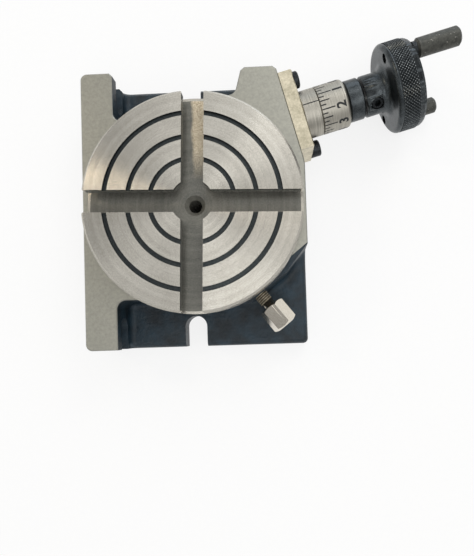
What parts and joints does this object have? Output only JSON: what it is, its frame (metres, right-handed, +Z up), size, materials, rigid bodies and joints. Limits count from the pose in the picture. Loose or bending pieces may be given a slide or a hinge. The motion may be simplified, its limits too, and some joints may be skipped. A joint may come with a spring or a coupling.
{
  "type": "rotary table",
  "caption": "Rotary table for bench work: round slotted face plate on a low base with an upright flange, turned through a worm by a handwheel with a graduated dial.",
  "frame": {"origin": "on the table's axis, in the plane of the base's underside", "axes": "+Z up along the table's axis, -X toward the upright flange's clamping face, +X toward the handwheel's end"},
  "size_m": [0.1783, 0.1452, 0.048],
  "materials": {
    "cast_base": "rough cast, painted",
    "ground_steel": "fine ground",
    "satin_steel": "satin turned",
    "bronze": "turned",
    "bright_steel": "turned",
    "black_oxide": "black oxide",
    "black_screw": "black oxide",
    "dark_handle": "dark, satin",
    "nickel": "nickel plated"
  },
  "bodies": {
    "base": {"base_casting": "cast_base", "journal_bush": "bronze", "thrust_washer": "bronze", "inner_bush": "bronze", "outer_bush": "bronze", "worm_thrust_washer": "bronze", "index_sleeve": "satin_steel", "bracket_plate": "ground_steel", "bracket_screw_far": "black_screw", "bracket_screw_near": "black_screw"},
    "table": {"table_disc": "ground_steel", "worm_wheel": "bronze", "wheel_key": "bright_steel", "nut_washer": "bright_steel", "lock_nut": "bright_steel"},
    "worm": {"worm_shaft": "bright_steel", "dial_collar": "black_oxide", "handwheel": "black_oxide", "hub_set_screw": "black_screw", "long_handle_screw": "black_screw", "short_handle_screw": "black_screw"},
    "dial": {"dial": "satin_steel"},
    "long_handle": {"long_handle": "dark_handle"},
    "short_handle": {"short_handle": "dark_handle"},
    "clamp_plug": {"clamp_plug": "bronze"},
    "clamp_bolt": {"clamp_bolt": "nickel"}
  },
  "joints": [
    {"name": "table_spin", "type": "hinge", "parent": "base", "child": "table", "pos_m": [0, 0, 0.0227], "axis": [0, 0, 1], "continuous": true},
    {"name": "worm_spin", "type": "hinge", "parent": "base", "child": "worm", "pos_m": [-0.00789, 0.02946, 0.0227], "axis": [0.9659, 0.2588, 0], "continuous": true},
    {"name": "dial_turn", "type": "hinge", "parent": "worm", "child": "dial", "pos_m": [0.06552, 0.04913, 0.0227], "axis": [0.9659, 0.2588, 0], "continuous": true},
    {"name": "long_handle_spin", "type": "hinge", "parent": "worm", "child": "long_handle", "pos_m": [0.11393, 0.07169, 0.03696], "axis": [0.9659, 0.2588, 0], "continuous": true},
    {"name": "short_handle_spin", "type": "hinge", "parent": "worm", "child": "short_handle", "pos_m": [0.11447, 0.05266, 0.00844], "axis": [0.9659, 0.2588, 0], "continuous": true},
    {"name": "clamp_slide", "type": "slide", "parent": "base", "child": "clamp_plug", "axis": [0.6225, -0.7826, 0], "range_m": [-0.0002, 0.003]},
    {"name": "clamp_turn", "type": "hinge", "parent": "clamp_plug", "child": "clamp_bolt", "pos_m": [-0.00266, -0.00212, 0.031], "axis": [0.6225, -0.7826, 0], "range_deg": [-73, 1081]}
  ],
  "couplings": [
    {"joint": "worm_spin", "follows": "table_spin", "ratio": 40},
    {"joint": "clamp_turn", "follows": "clamp_slide", "rad_per_m": 6283.2}
  ]
}
